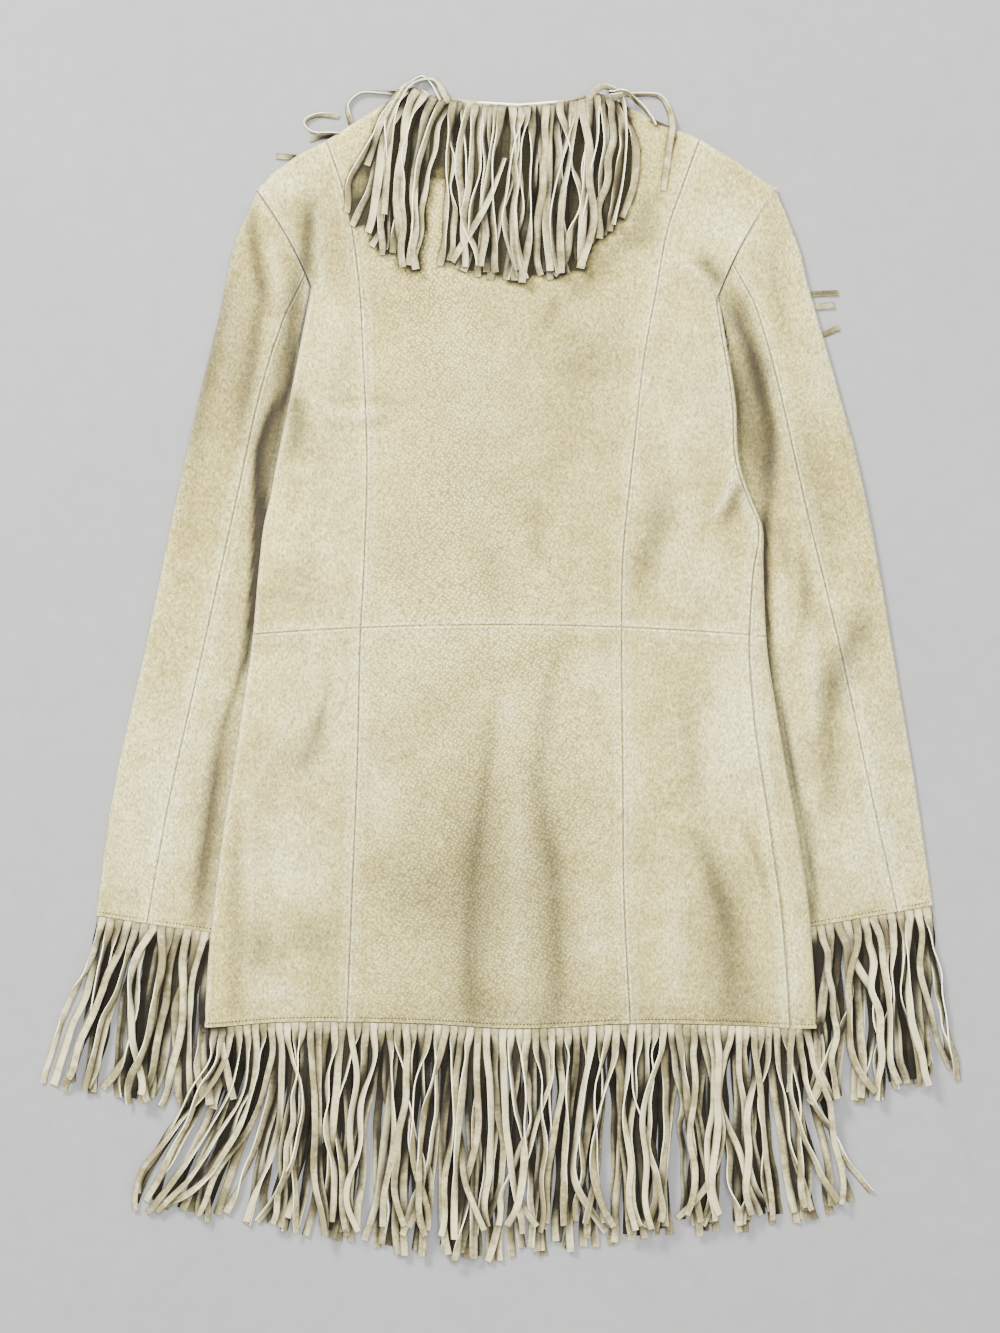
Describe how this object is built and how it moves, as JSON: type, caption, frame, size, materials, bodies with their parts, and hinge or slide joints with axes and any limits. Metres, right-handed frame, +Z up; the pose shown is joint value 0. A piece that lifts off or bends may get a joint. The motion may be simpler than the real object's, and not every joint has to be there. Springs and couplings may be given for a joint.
{
  "type": "fringed suede jacket",
  "caption": "Waisted suede jacket with cut fringe at neck, cuffs and hem, laid flat with its back up",
  "frame": {"origin": "on the floor under the middle of the jacket's box", "axes": "+X across the shoulders, to the right as seen from above; +Y from hem to neck; +Z up, out of the back"},
  "size_m": [0.7252, 0.934, 0.0109],
  "materials": {
    "panel_suede": "napped suede",
    "fringe_suede": "napped suede, cut edges",
    "binding": "smooth, pale"
  },
  "bodies": {
    "root": {"back_centre_lower": "panel_suede", "back_centre_upper": "panel_suede", "back_side_left_lower": "panel_suede", "back_side_left_upper": "panel_suede", "back_side_right_lower": "panel_suede", "back_side_right_upper": "panel_suede", "chest_fringe_left": "fringe_suede", "chest_fringe_right": "fringe_suede", "cuff_fringe_left_lower": "fringe_suede", "cuff_fringe_left_upper": "fringe_suede", "cuff_fringe_right_lower": "fringe_suede", "cuff_fringe_right_upper": "fringe_suede", "front_left_lower": "panel_suede", "front_left_upper": "panel_suede", "front_right_lower": "panel_suede", "front_right_upper": "panel_suede", "hem_fringe_back": "fringe_suede", "hem_fringe_front_left": "fringe_suede", "hem_fringe_front_right": "fringe_suede", "neck_binding": "binding", "neck_fringe_back": "fringe_suede", "neck_fringe_front_left": "fringe_suede", "neck_fringe_front_right": "fringe_suede", "sleeve_top_left": "panel_suede", "sleeve_top_right": "panel_suede", "sleeve_under_left": "panel_suede", "sleeve_under_right": "panel_suede"}
  },
  "joints": []
}
